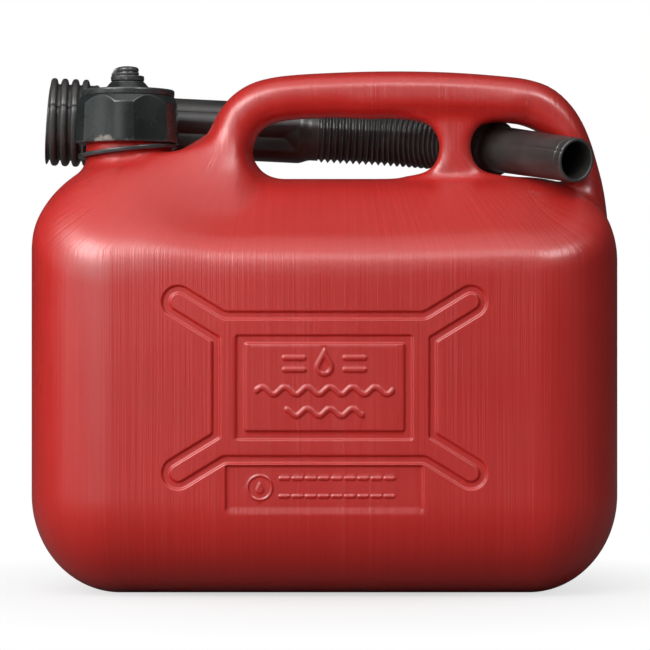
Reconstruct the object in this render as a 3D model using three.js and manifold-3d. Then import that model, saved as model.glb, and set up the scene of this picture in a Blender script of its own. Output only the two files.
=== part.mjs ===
// Five-litre jerry can for fuel: a blow-moulded can with a built-in top handle,
// a screw cap with its gasket and tether, and a flexible pouring spout stowed
// behind the handle with its tip passed through the small slot.
// Millimetres, +Z up, X along the handle, origin at the centre of the base on the floor.
// The front face of the can looks towards -Y.

import * as THREE from 'three';
import { mergeVertices } from 'three/addons/utils/BufferGeometryUtils.js';
import Module from 'manifold-3d';

const wasm = await Module();
wasm.setup();

const { degToRad, radToDeg, clamp, smoothstep } = THREE.MathUtils;

// ---------------------------------------------------------------- can dimensions

// Every height in this script is measured from a level this far under the base.
const BASE = 2.36;
const WALL = 2;
const TANK_HALF_LENGTH = 131.9;
const TANK_HALF_DEPTH = 65;
const TANK_TOP = 190;              // ridge under the handle slots
const TANK_MID_HEIGHT = TANK_TOP / 2;

// height, left end, right end, half depth, corner radius
const TANK_SECTIONS = [
  [BASE, -92.2, 91.7, 25, 20],
  [4.1, -104.5, 103.1, 36.9, 25],
  [6.9, -110.7, 109.4, 43.6, 27],
  [9.6, -114.8, 113.5, 48.2, 29],
  [15, -120.2, 119.4, 54.4, 32],
  [20.4, -124.3, 123.9, 58.7, 34],
  [28.5, -128.8, 128.4, 62.7, 36],
  [36.7, -131, 131, 64.7, 38],
  [45.5, -131.8, 131.8, 65, 38],
  [61.2, -131.9, 131.9, 65, 38],
  [144.4, -131.9, 131.9, 65, 38],
  [150.5, -131.9, 131.9, 64.2, 38],
  [156.2, -131.9, 131.5, 61.8, 37],
  [161.1, -131.3, 131.1, 58, 36],
  [164.6, -130.9, 130.5, 53.7, 35],
  [170.6, -130, 129.4, 44.4, 33],
  [176.8, -128, 125.9, 34.8, 29],
  [182.4, -124.9, 119.2, 26, 23],
  [186.4, -121.8, 111.8, 19.6, 17],
  [187.9, -120.2, 104.8, 17, 14.5],
  [189.2, -117.9, 94.9, 11.5, 10],
  [TANK_TOP, -114, 82, 5, 4.5],
];

// handle frame: x, height along its outer outline
const FRAME_OUTER = [
  [-86, 154], [-86, 194], [-76, 200.3], [-71, 201.9], [-66.5, 202.6], [-61.9, 204.7],
  [-57.3, 208.2], [-52.7, 213.8], [-48.1, 221.2], [-43.5, 226.9], [-38.9, 230.7],
  [-33, 233.7], [-25.1, 236], [-14, 237.6], [2, 238.6], [20.9, 239.2], [41, 239.3],
  [62.3, 238.7], [80.7, 237.3], [91, 236.4], [97, 234.9], [103.7, 231.8], [108.3, 228.6],
  [112.9, 223.8], [117.5, 216.8], [122.1, 206.3], [126.5, 189.5], [129.4, 174.5],
  [129.4, 154],
];

// x, height around the window that both slots share
const FRAME_WINDOW = [
  [-30.4, 193.2], [-32.4, 198], [-32.8, 203.3], [-31.8, 208], [-29.2, 212], [-25.1, 214.8],
  [-19.5, 216.5], [-11.3, 217.6], [2.5, 218], [20.9, 218.9], [41, 219.2], [60, 218.8],
  [78, 217.9], [88, 216], [95.5, 213], [102.2, 209], [107, 203.6], [108.9, 197.5],
  [108.3, 190.5], [104, 183.5], [-20, 183.5], [-26.5, 189],
];
const FRAME_HALF_DEPTH = 16;
const FRAME_EDGE_ROUND = 7.3;      // rounding of the handle bar's section
const FRAME_FLAT = 0.4;            // unrounded band at mid depth

// post between the two slots: height, centre x, half width, half depth
const POST_SECTIONS = [
  [180, 60, 18, 15], [186, 60, 15.5, 14.2], [191, 60, 12.6, 13.4], [196, 60, 9.6, 12.8],
  [200, 60, 8, 12.4], [205, 60, 7.25, 12.2], [210, 59.9, 7.9, 12.2], [214, 59.9, 9.9, 12.4],
  [218, 59.9, 13.5, 12.4], [222, 59.9, 16.5, 12], [228, 59.9, 17, 10],
];

// neck, standing on a rounded hump at the left end
const NECK_X = -90.6;
const NECK_COLLAR_R = 19;
const NECK_CORE_R = 16.4;
const NECK_BORE_R = 14.2;
const NECK_LIP = 227;

// radius, height
const NECK_OUTSIDE = [
  [41, 155], [41.2, 160], [40.9, 165], [39.8, 170.5], [37.8, 176.5], [34.6, 182],
  [31, 186.5], [27.6, 189.8], [24, 193], [21.5, 196], [19.8, 199], [NECK_COLLAR_R, 200.5],
  [NECK_COLLAR_R, 206.2], [NECK_CORE_R, 208.4], [NECK_CORE_R, 226.2], [15.7, NECK_LIP],
];
const NECK_INSIDE = [
  [38.8, 157], [38.6, 165], [35.8, 176], [32.5, 181.5], [25.4, 188.5], [19.6, 194.5],
  [17, 199.5], [NECK_BORE_R, 204], [NECK_BORE_R, NECK_LIP + 2],
];

// relief pressed into the front and back faces
const RELIEF_DEPTH = 1;

// framed panel with a round-ended diagonal arm at each corner, outlined by a groove
const PANEL = {
  height: 95.5,                    // of its centre
  halfWidth: 49.4,
  halfHeight: 33.5,
  armX: 64,                        // centre of an arm's round end, from the panel's centre
  armZ: 37.5,
  armRadius: 7.35,
  armSlope: Math.atan2(15, 24.5),
  groove: 3.6,
};

// rectangles: left, right, bottom, top
const INNER_FRAME_OUTER = [-38.7, 38.4, 72.7, 118.3];
const INNER_FRAME_INNER = [-34.8, 35, 76.4, 114.8];
const RECESS = [-43.1, 43.2, 41.7, 61.2];

// ---------------------------------------------------------------- closure dimensions

const CAP_BOTTOM = 207.7;
const CAP_SHOULDER = 225.6;
const CAP_DISC_BOTTOM = 228.6;
const CAP_DISC_TOP = 232.1;
const CAP_LOBES = 6;
const CAP_LOBE_R = 24.2;           // at the bottom of the skirt
const CAP_DRAFT = 0.8;             // how much the skirt narrows towards its top
const CAP_SCALLOP_DEPTH = 1.5;
const CAP_LOBE_HALF_ANGLE = 10;    // degrees of full radius on each side of a ridge
const CAP_DISC_R = 21.6;
const CAP_DISC_CHAMFER = 0.9;
const CAP_FOOT_INSET = 0.5;        // chamfer round the bottom of the skirt
const CAP_FOOT_HEIGHT = 0.6;
const CAP_BORE_R = 19.4;
const CAP_CEILING = 229.2;

// radius, height: bore with a widened mouth
const CAP_BORE = [
  [CAP_BORE_R + 0.6, CAP_BOTTOM - 1], [CAP_BORE_R + 0.3, CAP_BOTTOM + 0.8],
  [CAP_BORE_R, CAP_BOTTOM + 1.2], [CAP_BORE_R, CAP_CEILING],
];

// radius, height: boss on top of the cap, with a waist under its knob
const CAP_BOSS = [
  [9.7, 231.5], [9.7, CAP_DISC_TOP], [7.7, 234.5], [3.3, 234.5],
  [3.3, 237.6], [5.2, 237.6], [5.3, 240.6], [4.3, 241.8],
];

// screw threads of the neck and of the cap: the same pitch, half a pitch apart
const PITCH = 5;
const THREAD_STEPS = 24;           // facets in one turn
const NECK_THREAD = {
  from: 211.6, turns: 2.3, root: NECK_CORE_R - 0.6, crest: 18.8, rootWidth: 2.3, crestWidth: 1,
};
// the root is buried in the skirt wall
const CAP_THREAD = {
  from: NECK_THREAD.from + PITCH / 2, turns: 1.7,
  root: CAP_BORE_R + 0.5, crest: 16.9, rootWidth: 2.2, crestWidth: 1,
};

// flat ring that seals the cap on the lip
const CAP_GASKET = { inner: 13.6, outer: 18.4, bottom: 227.3, top: 228.9 };

// tether: ring on the neck, strap, eyelet under the knob of the cap
const TETHER_RING = {
  inner: 20, outer: 22.8, height: 2.4, z: 202.8,
  tilt: degToRad(6.4),             // the +X side is raised
};
const TETHER_EYELET = { inner: 3.8, outer: 7.6, bottom: 234.9, top: 237.2 };
const STRAP_AZIMUTH = degToRad(90); // from +X towards +Y
const STRAP_WIDTH = 6;
const STRAP_THICKNESS = 1.4;
const STRAP_GAP = 0.45;            // between each end of the strap's centre line and its ring
const STRAP_STEPS = 18;

// ---------------------------------------------------------------- spout dimensions

// The centre line runs straight behind the handle, bends forward, and ends
// straight through the small slot. Stations are distances along it from the collar's rim.
const SPOUT_START = new THREE.Vector3(-130.9, 40.1, 219.2);
const SPOUT_CORNER = new THREE.Vector3(56.4, 47.6, 210.6);
const SPOUT_END = new THREE.Vector3(113, -35, 196.5);
const SPOUT_BEND_R = 66;
const SPOUT_WALL = 1.4;

const COLLAR_LENGTH = 24;
const COLLAR_RIB_R = 20.7;
const COLLAR_CORE_R = 18.4;
const COLLAR_RIB_PHASE = 3;        // station of a rib crest at angle 0
const COLLAR_RIB_FADE = [17.5, 20.5];
const COLLAR_STEP = 1.25;
const COLLAR_STEPS = 16;

const TUBE_R = 14;
const PINCH_DEPTH = 2.6;
const PINCH_IN = [COLLAR_LENGTH + 6, COLLAR_LENGTH + 14];
const PINCH_OUT = [104, 112];
const TAPER_DEPTH = 1.6;
const TAPER = [118, 124];

const BELLOWS_FROM = 128.7;
const BELLOWS_TO = 213.5;
const BELLOWS_RIDGE_R = 13.2;
const BELLOWS_VALLEY_R = 11.9;
const BELLOWS_PITCH = 3;           // nominal, adjusted to fit whole waves
const BELLOWS_BORE_STEPS = 14;

const TIP_R = 10;
const SPOUT_WASHER = { inner: 13.2, outer: 16.6, at: 21, thick: 1.5 };

// facets round each part
const BASE_FACETS = 24;
const BELLOWS_FACETS = 16;
const TIP_FACETS = 28;
const WASHER_FACETS = 28;

// ---------------------------------------------------------------- solids

const point = (x, y, z) => new THREE.Vector3(x, y, z);
const join = (...bodies) => bodies.reduce((whole, body) => whole.add(body));
const cut = (body, ...tools) => tools.reduce((rest, tool) => rest.subtract(tool), body);

// a closed three.js geometry as a solid that can be joined and cut
function solid(geometry) {
  // normals and texture coordinates would keep seam vertices apart
  geometry.deleteAttribute('normal');
  geometry.deleteAttribute('uv');
  const merged = mergeVertices(geometry, 1e-4);
  const positions = merged.attributes.position;
  const corners = merged.index.array;
  const vertex = (i) => new THREE.Vector3().fromBufferAttribute(positions, i);

  const triangles = [];
  let volume = 0;                  // six times the enclosed volume, negative if inside out
  for (let i = 0; i < corners.length; i += 3) {
    const [a, b, c] = corners.slice(i, i + 3);
    if (a === b || b === c || a === c) continue;
    triangles.push([a, b, c]);
    volume += vertex(a).dot(vertex(b).cross(vertex(c)));
  }
  const outward = volume < 0 ? triangles.map(([a, b, c]) => [a, c, b]) : triangles;
  return new wasm.Manifold(new wasm.Mesh({
    numProp: 3,
    vertProperties: positions.array,
    triVerts: new Uint32Array(outward.flat()),
  }));
}

function geometryOf(body) {
  const { vertProperties, triVerts } = body.getMesh();
  const geometry = new THREE.BufferGeometry();
  geometry.setAttribute('position', new THREE.Float32BufferAttribute(vertProperties, 3));
  geometry.setIndex(new THREE.Uint32BufferAttribute(triVerts, 1));
  geometry.computeVertexNormals();
  return geometry;
}

// points of a closed ring, each placed by its angle in radians
const ringOf = (count, place) =>
  Array.from({ length: count }, (_, i) => place((i / count) * 2 * Math.PI));

// a skin through rings of points, closed by a fan at each end
function loft(rings) {
  const count = rings[0].length;
  const points = rings.flat();
  const index = [];
  for (let i = 0; i < rings.length - 1; i++) {
    for (let j = 0; j < count; j++) {
      const a = i * count + j;
      const b = i * count + (j + 1) % count;
      index.push(a, b, b + count, a, b + count, a + count);
    }
  }
  const fan = (ring, start, flip) => {
    const hub = points.length;
    points.push(ring.reduce((sum, p) => sum.add(p), point(0, 0, 0)).divideScalar(count));
    for (let j = 0; j < count; j++) {
      const a = start + j;
      const b = start + (j + 1) % count;
      index.push(hub, ...(flip ? [b, a] : [a, b]));
    }
  };
  fan(rings[0], 0, true);
  fan(rings.at(-1), (rings.length - 1) * count, false);

  const geometry = new THREE.BufferGeometry();
  const coordinates = points.flatMap((p) => p.toArray());
  geometry.setAttribute('position', new THREE.Float32BufferAttribute(coordinates, 3));
  geometry.setIndex(index);
  return solid(geometry);
}

// lathe surface about the vertical through the origin; profile is [radius, height]
function lathe(profile, segments) {
  const points = profile.map(([radius, z]) => new THREE.Vector2(radius, z));
  return new THREE.LatheGeometry(points, segments).rotateX(Math.PI / 2);
}

// body of revolution about the neck's axis
function turned(profile, segments) {
  const closed = [[0, profile[0][1]], ...profile, [0, profile.at(-1)[1]]];
  return solid(lathe(closed, segments).translate(NECK_X, 0, 0));
}

// flat ring about the neck's axis
function flatRing({ inner, outer, bottom, top }, segments) {
  return cut(
    turned([[outer, bottom], [outer, top]], segments),
    turned([[inner, bottom - 1], [inner, top + 1]], segments),
  );
}

// right-hand helical ridge about the neck's axis, fading at both ends
function thread({ from, turns, root, crest, rootWidth, crestWidth }) {
  const rings = [];
  const count = Math.round(turns * THREAD_STEPS);
  for (let i = 0; i <= count; i++) {
    const turn = i / THREAD_STEPS;
    const angle = turn * 2 * Math.PI;
    const fade = Math.min(1, (Math.min(i, count - i) + 0.6) / 4);
    const top = root + (crest - root) * (0.25 + 0.75 * fade);
    const profile = [
      [root, -rootWidth / 2], [top, -crestWidth / 2], [top, crestWidth / 2], [root, rootWidth / 2],
    ];
    rings.push(profile.map(([radius, dz]) => point(
      NECK_X + radius * Math.cos(angle),
      radius * Math.sin(angle),
      from + turn * PITCH + dz,
    )));
  }
  return loft(rings);
}

// flat outline in X and Z with an optional window, both wound the way a shape expects
function shape(outline, window) {
  const wound = (list, anticlockwise) => {
    const points = list.map(([x, z]) => new THREE.Vector2(x, z));
    return (THREE.ShapeUtils.area(points) > 0) === anticlockwise ? points : points.reverse();
  };
  const result = new THREE.Shape(wound(outline, true));
  if (window) result.holes.push(new THREE.Path(wound(window, false)));
  return result;
}

// ---------------------------------------------------------------- can body

// rounded rectangle at height z, with the given number of points on each corner
function tankSection([z, left, right, halfDepth, radius], perCorner) {
  const corners = [
    [right - radius, halfDepth - radius, 0],
    [left + radius, halfDepth - radius, 90],
    [left + radius, radius - halfDepth, 180],
    [right - radius, radius - halfDepth, 270],
  ];
  return corners.flatMap(([x, y, from]) => Array.from({ length: perCorner }, (_, i) => {
    const angle = degToRad(from + (90 * i) / (perCorner - 1));
    return point(x + radius * Math.cos(angle), y + radius * Math.sin(angle), z);
  }));
}

// the tank, scaled down about its middle so that its widest faces move in by the inset
function tank(inset, perCorner) {
  const scale = point(
    1 - inset / TANK_HALF_LENGTH,
    1 - inset / TANK_HALF_DEPTH,
    1 - inset / TANK_MID_HEIGHT,
  );
  const middle = point(0, 0, TANK_MID_HEIGHT);
  return loft(TANK_SECTIONS.map((row) =>
    tankSection(row, perCorner).map((p) => p.sub(middle).multiply(scale).add(middle))));
}

// handle bar and legs: an upright plate with rounded edges
function handleFrame(inset, bevelSegments) {
  const round = FRAME_EDGE_ROUND - inset;
  const geometry = new THREE.ExtrudeGeometry(shape(FRAME_OUTER, FRAME_WINDOW), {
    depth: FRAME_FLAT,
    steps: 1,
    curveSegments: 1,
    bevelEnabled: true,
    bevelSegments,
    bevelSize: round,
    bevelThickness: FRAME_HALF_DEPTH - inset - FRAME_FLAT / 2,
    bevelOffset: -round - inset,
  });
  geometry.translate(0, 0, -FRAME_FLAT / 2);
  geometry.rotateX(Math.PI / 2);
  return solid(geometry);
}

function post(inset) {
  return loft(POST_SECTIONS.map(([z, x, halfWidth, halfDepth]) => ringOf(14, (angle) => point(
    x + (halfWidth - inset) * Math.cos(angle),
    (halfDepth - inset) * Math.sin(angle),
    z,
  ))));
}

// tool that presses an outline, less its window, into the front (-1) or back (1) face
function relief(outline, window, side) {
  const geometry = new THREE.ExtrudeGeometry(shape(outline, window), {
    depth: 2 * RELIEF_DEPTH,
    bevelEnabled: false,
    curveSegments: 1,
  });
  geometry.translate(0, 0, -RELIEF_DEPTH);
  geometry.rotateX(Math.PI / 2);
  geometry.translate(0, side * TANK_HALF_DEPTH, 0);
  return solid(geometry);
}

// outline of the panel with its four arms, shrunk by the inset
function panelOutline(inset) {
  const { armX, armZ, armSlope } = PANEL;
  const radius = PANEL.armRadius - inset;
  const halfWidth = PANEL.halfWidth - inset;
  const halfHeight = PANEL.halfHeight - inset;
  const cos = Math.cos(armSlope);
  const sin = Math.sin(armSlope);

  // upper right quarter: the arm's lower edge, its round end, its upper edge
  const quarter = [];
  const lowerReach = (armX + radius * sin - halfWidth) / cos;
  quarter.push([halfWidth, armZ - radius * cos - lowerReach * sin]);
  for (let i = 0; i <= 6; i++) {
    const angle = armSlope - Math.PI / 2 + (Math.PI * i) / 6;
    quarter.push([armX + radius * Math.cos(angle), armZ + radius * Math.sin(angle)]);
  }
  const upperReach = (armZ + radius * cos - halfHeight) / sin;
  quarter.push([armX - radius * sin - upperReach * cos, halfHeight]);

  return [[1, 1], [-1, 1], [-1, -1], [1, -1]].flatMap(([signX, signZ]) => {
    const mirrored = quarter.map(([x, z]) => [signX * x, PANEL.height + signZ * z]);
    return signX * signZ > 0 ? mirrored : mirrored.reverse();
  });
}

const rectangle = ([left, right, bottom, top]) =>
  [[left, bottom], [right, bottom], [right, top], [left, top]];

function canBody() {
  const outside = join(
    tank(0, 7),
    handleFrame(0, 3),
    post(0),
    turned(NECK_OUTSIDE, 32),
    thread(NECK_THREAD),
  );
  const hollow = join(
    tank(WALL, 5),
    handleFrame(WALL, 2),
    post(WALL),
    turned(NECK_INSIDE, 28),
  );
  const reliefs = [-1, 1].flatMap((side) => [
    relief(panelOutline(0), panelOutline(PANEL.groove), side),
    relief(rectangle(INNER_FRAME_OUTER), rectangle(INNER_FRAME_INNER), side),
    relief(rectangle(RECESS), null, side),
  ]);
  return cut(outside, hollow, ...reliefs);
}

// ---------------------------------------------------------------- cap

// radius of the lobed skirt; one ridge faces the front
function skirtRadius(angle, z) {
  const draft = CAP_DRAFT * (z - CAP_BOTTOM) / (CAP_SHOULDER - CAP_BOTTOM);
  const step = 360 / CAP_LOBES;
  const fromRidge = Math.abs((radToDeg(angle) + 90 + step / 2) % step - step / 2);
  // 0 on the ridge, 1 in the middle of a scallop
  const across = Math.max(0, fromRidge - CAP_LOBE_HALF_ANGLE) / (step / 2 - CAP_LOBE_HALF_ANGLE);
  return CAP_LOBE_R - draft - CAP_SCALLOP_DEPTH * Math.sin((across * Math.PI) / 2);
}

function capShell() {
  const ring = (z, radiusAt) => ringOf(72, (angle) => {
    const radius = radiusAt(angle, z);
    return point(NECK_X + radius * Math.cos(angle), radius * Math.sin(angle), z);
  });
  const outside = loft([
    ring(CAP_BOTTOM, (angle, z) => skirtRadius(angle, z) - CAP_FOOT_INSET),
    ring(CAP_BOTTOM + CAP_FOOT_HEIGHT, skirtRadius),
    ring(CAP_SHOULDER, skirtRadius),
    ring(CAP_DISC_BOTTOM, (angle) => Math.min(skirtRadius(angle, CAP_SHOULDER), CAP_DISC_R)),
    ring(CAP_DISC_TOP - CAP_DISC_CHAMFER, () => CAP_DISC_R),
    ring(CAP_DISC_TOP, () => CAP_DISC_R - CAP_DISC_CHAMFER),
  ]);
  return join(cut(outside, turned(CAP_BORE, 36)), thread(CAP_THREAD), turned(CAP_BOSS, 24));
}

const capGasket = () => flatRing(CAP_GASKET, 36);

// ---------------------------------------------------------------- tether

function tetherRing() {
  const { inner, outer, height, z, tilt } = TETHER_RING;
  const half = height / 2;
  const profile = [[inner, -half], [outer, -half], [outer, half], [inner, half], [inner, -half]];
  return solid(lathe(profile, 40).rotateY(-tilt).translate(NECK_X, 0, z));
}

const tetherEyelet = () => flatRing(TETHER_EYELET, 28);

// flat strap from the neck ring, up past the cap's skirt, to the eyelet
function tetherStrap() {
  const cos = Math.cos(STRAP_AZIMUTH);
  const sin = Math.sin(STRAP_AZIMUTH);
  const ringZ = TETHER_RING.z + TETHER_RING.outer * Math.sin(TETHER_RING.tilt) * cos;
  // distance from the neck's axis, height
  const stations = [
    [TETHER_RING.outer + STRAP_GAP, ringZ], [24.4, ringZ + 0.6], [25.4, ringZ + 3],
    [25.5, 212], [25.5, 224], [25, 230], [22.4, 234.4], [16, 236.2],
    [TETHER_EYELET.outer + STRAP_GAP, 236.05],
  ];
  const path = new THREE.CatmullRomCurve3(stations.map(([reach, z]) => point(reach, 0, z)));
  const w = STRAP_WIDTH / 2;
  const h = STRAP_THICKNESS / 2;
  const rings = [];
  for (let i = 0; i <= STRAP_STEPS; i++) {
    const centre = path.getPointAt(i / STRAP_STEPS);
    const tangent = path.getTangentAt(i / STRAP_STEPS);
    const normal = point(-tangent.z, 0, tangent.x);
    rings.push([[w, h], [-w, h], [-w, -h], [w, -h]].map(([across, lift]) => {
      const { x: reach, z } = centre.clone().addScaledVector(normal, lift);
      return point(NECK_X + reach * cos - across * sin, reach * sin + across * cos, z);
    }));
  }
  return loft(rings);
}

// ---------------------------------------------------------------- spout

const firstLeg = SPOUT_CORNER.clone().sub(SPOUT_START);
const secondLeg = SPOUT_END.clone().sub(SPOUT_CORNER);
const firstDir = firstLeg.clone().normalize();
const bendAngle = firstLeg.angleTo(secondLeg);
const bendReach = SPOUT_BEND_R * Math.tan(bendAngle / 2);  // from the corner to the bend's ends
const bendFrom = firstLeg.length() - bendReach;
const bendTo = bendFrom + SPOUT_BEND_R * bendAngle;
const SPOUT_LENGTH = bendTo + secondLeg.length() - bendReach;
const bendAxis = firstLeg.clone().cross(secondLeg).normalize();
const bendCentre = SPOUT_START.clone()
  .addScaledVector(firstDir, bendFrom)
  .addScaledVector(bendAxis.clone().cross(firstDir), SPOUT_BEND_R);

// ring of points about the centre line; radius is a number or a function of angle and
// station, with angle 0 towards the bend's inside
function spoutRing(station, facets, radius) {
  const onBend = clamp(station, bendFrom, bendTo);
  const tangent = firstDir.clone().applyAxisAngle(bendAxis, (onBend - bendFrom) / SPOUT_BEND_R);
  const inward = bendAxis.clone().cross(tangent);
  const centre = bendCentre.clone()
    .addScaledVector(inward, -SPOUT_BEND_R)
    .addScaledVector(tangent, station - onBend);
  return ringOf(facets, (angle) => {
    const r = typeof radius === 'function' ? radius(angle, station) : radius;
    return centre.clone()
      .addScaledVector(inward, r * Math.cos(angle))
      .addScaledVector(bendAxis, r * Math.sin(angle));
  });
}

// skin along the centre line; rows are [station, radius]
const spoutLoft = (facets, rows) =>
  loft(rows.map(([station, radius]) => spoutRing(station, facets, radius)));

const withRadius = (stations, radius) => stations.map((station) => [station, radius]);
const insideOf = (radius) => (angle, station) => radius(angle, station) - SPOUT_WALL;

// outside of the threaded collar: the moulded thread shows as a helical rib
function collarRadius(angle, station) {
  const turn = (station - COLLAR_RIB_PHASE) / PITCH - angle / (2 * Math.PI);
  const wave = 0.5 + 0.5 * Math.cos(2 * Math.PI * turn);
  const ribbed = 1 - smoothstep(station, ...COLLAR_RIB_FADE);
  return COLLAR_CORE_R + (COLLAR_RIB_R - COLLAR_CORE_R) * ribbed * Math.min(1, 1.5 * wave);
}

// the tube is pinched along its length on the side facing the handle and on the
// opposite side, and narrows before the bellows
function tubeRadius(angle, station) {
  const pinch = smoothstep(station, ...PINCH_IN) * (1 - smoothstep(station, ...PINCH_OUT));
  return TUBE_R
    - PINCH_DEPTH * pinch * Math.cos(angle) ** 8
    - TAPER_DEPTH * smoothstep(station, ...TAPER);
}

// threaded collar and plain tube
function spoutBase() {
  const collar = Array.from({ length: COLLAR_STEPS + 1 }, (_, i) => i * COLLAR_STEP);
  const tube = [...PINCH_OUT, ...TAPER];
  const seat = SPOUT_WASHER.at + SPOUT_WASHER.thick + 0.35;  // step just past the washer
  const outside = [
    ...withRadius(collar, collarRadius),
    [COLLAR_LENGTH - 1.4, COLLAR_CORE_R],
    [COLLAR_LENGTH, COLLAR_CORE_R - 1.6],
    [COLLAR_LENGTH + 1.4, TUBE_R + 0.3],
    ...withRadius([30, 34, 38, 70, 104, 108, 112, 118, 121, 124, BELLOWS_FROM - 0.3], tubeRadius),
  ];
  const inside = [
    ...withRadius([-COLLAR_STEP, ...collar], insideOf(collarRadius)),
    [seat, COLLAR_CORE_R - SPOUT_WALL],
    [seat + 0.3, TUBE_R - SPOUT_WALL],
    ...withRadius([...PINCH_IN, ...tube, BELLOWS_FROM + 1], insideOf(tubeRadius)),
  ];
  return cut(spoutLoft(BASE_FACETS, outside), spoutLoft(BASE_FACETS, inside));
}

function spoutBellows() {
  const length = BELLOWS_TO - BELLOWS_FROM;
  const waves = Math.round(length / BELLOWS_PITCH);
  const outside = [];
  for (let i = 0; i <= 2 * waves; i++) {
    const radius = i % 2 ? BELLOWS_RIDGE_R : BELLOWS_VALLEY_R;
    outside.push([BELLOWS_FROM + (i * length) / (2 * waves), radius]);
  }
  // smooth bore, running 1 mm past both ends
  const inside = [];
  for (let i = 0; i <= BELLOWS_BORE_STEPS; i++) {
    const station = BELLOWS_FROM - 1 + (i * (length + 2)) / BELLOWS_BORE_STEPS;
    inside.push([station, BELLOWS_VALLEY_R - SPOUT_WALL]);
  }
  return cut(spoutLoft(BELLOWS_FACETS, outside), spoutLoft(BELLOWS_FACETS, inside));
}

// wide sleeve next to the bellows, then the narrow end
function spoutTip() {
  const outside = [
    [BELLOWS_TO + 0.35, 11.6], [BELLOWS_TO + 1.4, 12.8], [222.6, 12.8], [223.4, 12.2],
    [224, 11], [226.5, 10.6], [SPOUT_LENGTH - 4, TIP_R + 0.1], [SPOUT_LENGTH - 0.5, TIP_R],
    [SPOUT_LENGTH, TIP_R - 0.4],
  ];
  const inside = [[BELLOWS_TO - 1, 10.4], [222, 10.4], [225, 9], [SPOUT_LENGTH + 1, 8.5]];
  return cut(spoutLoft(TIP_FACETS, outside), spoutLoft(TIP_FACETS, inside));
}

// flat ring inside the collar
function spoutWasher() {
  const { inner, outer, at, thick } = SPOUT_WASHER;
  return cut(
    spoutLoft(WASHER_FACETS, withRadius([at, at + thick], outer)),
    spoutLoft(WASHER_FACETS, withRadius([at - 1, at + thick + 1], inner)),
  );
}

// ---------------------------------------------------------------- materials

const RED_HDPE = { color: 0xc4202a, roughness: 0.42, metalness: 0 };
const BLACK_GLOSS = { color: 0x1d1d1f, roughness: 0.38, metalness: 0 };
const BLACK_SOFT = { color: 0x19191a, roughness: 0.55, metalness: 0 };
const RUBBER = { color: 0x141414, roughness: 0.85, metalness: 0 };

// ---------------------------------------------------------------- assembly

const can = new THREE.Group();
const closure = new THREE.Group();
const spout = new THREE.Group();
can.add(closure, spout);

// adds a named mesh, lowered so that the base stands on the floor
function piece(name, body, material, parent) {
  const geometry = geometryOf(body.translate([0, 0, -BASE]));
  const mesh = new THREE.Mesh(geometry, new THREE.MeshStandardMaterial(material));
  mesh.name = name;
  parent.add(mesh);
}

piece('can_body', canBody(), RED_HDPE, can);
piece('cap_shell', capShell(), BLACK_GLOSS, closure);
piece('cap_gasket', capGasket(), RUBBER, closure);
piece('cap_tether_ring', tetherRing(), BLACK_SOFT, closure);
piece('cap_tether_strap', tetherStrap(), BLACK_SOFT, closure);
piece('cap_tether_eyelet', tetherEyelet(), BLACK_SOFT, closure);
piece('spout_base', spoutBase(), BLACK_SOFT, spout);
piece('spout_bellows', spoutBellows(), BLACK_SOFT, spout);
piece('spout_tip', spoutTip(), BLACK_SOFT, spout);
piece('spout_washer', spoutWasher(), RUBBER, spout);

export default can;
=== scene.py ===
"""A red moulded can with a handle and a neck, and its black cap, tether and bent spout.

The can stands on z = 0 with its length along X and its front facing -Y. The neck is near its
left end (-X); the spout lies along the top behind the handle and bends forward at the right.
"""
import math

import bpy
import numpy as np
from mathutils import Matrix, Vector


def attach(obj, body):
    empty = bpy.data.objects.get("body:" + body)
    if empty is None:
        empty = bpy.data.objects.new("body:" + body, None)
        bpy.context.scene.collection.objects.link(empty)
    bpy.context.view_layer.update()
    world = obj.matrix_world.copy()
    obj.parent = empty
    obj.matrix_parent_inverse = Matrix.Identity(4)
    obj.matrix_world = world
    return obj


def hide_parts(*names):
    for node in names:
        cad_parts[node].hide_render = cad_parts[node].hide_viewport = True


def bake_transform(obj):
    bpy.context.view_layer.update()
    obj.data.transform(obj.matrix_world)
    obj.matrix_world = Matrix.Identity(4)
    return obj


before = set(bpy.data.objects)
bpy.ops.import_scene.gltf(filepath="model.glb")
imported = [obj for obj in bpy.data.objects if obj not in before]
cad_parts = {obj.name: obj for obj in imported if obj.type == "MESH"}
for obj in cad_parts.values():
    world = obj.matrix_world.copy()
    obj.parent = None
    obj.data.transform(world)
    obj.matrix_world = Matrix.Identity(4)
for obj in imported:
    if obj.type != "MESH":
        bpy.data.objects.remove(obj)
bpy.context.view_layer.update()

# Shapes are in millimetres, with heights from a level BASE below the underside of the can.
# Materials, lights and the camera are in metres, with heights from the underside itself.
MM = 0.001
BASE = 2.36

# ------------------------------------------------------------------ main sizes

NECK_X = -90.6
NECK_BORE_R = 14.2
NECK_CORE_R = 16.4
NECK_COLLAR_R = 19.0
NECK_LIP = 227.0
PITCH = 5.0                       # of the screw threads and of the ridge on the spout's collar
THREAD_TIP = 0.9                  # width of a thread's crest

FACE_Y = 65.0                     # front and back faces of the tank
CORNER_R = 40.0
TANK_HALF_LENGTH = 131.9
STRAIGHT_X = TANK_HALF_LENGTH - CORNER_R    # where the vertical corners begin
STRAIGHT_Y = FACE_Y - CORNER_R

GRID = 1.6                        # spacing of the body's mesh
FINE = 5                          # the relief's mesh is this many times finer

# ------------------------------------------------------------------ helpers


def ease(share):
    share = np.clip(share, 0.0, 1.0)
    return share * share * (3 - 2 * share)


def ramp(value, start, end):
    """0 at start, 1 at end, eased between; start may be the greater."""
    return ease((value - start) / (end - start))


def soft_min(first, second, blend):
    overlap = np.maximum(blend - np.abs(first - second), 0.0) / blend
    return np.minimum(first, second) - overlap * overlap * blend * 0.25


def soft_max(first, second, blend):
    return -soft_min(-first, -second, blend)


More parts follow.
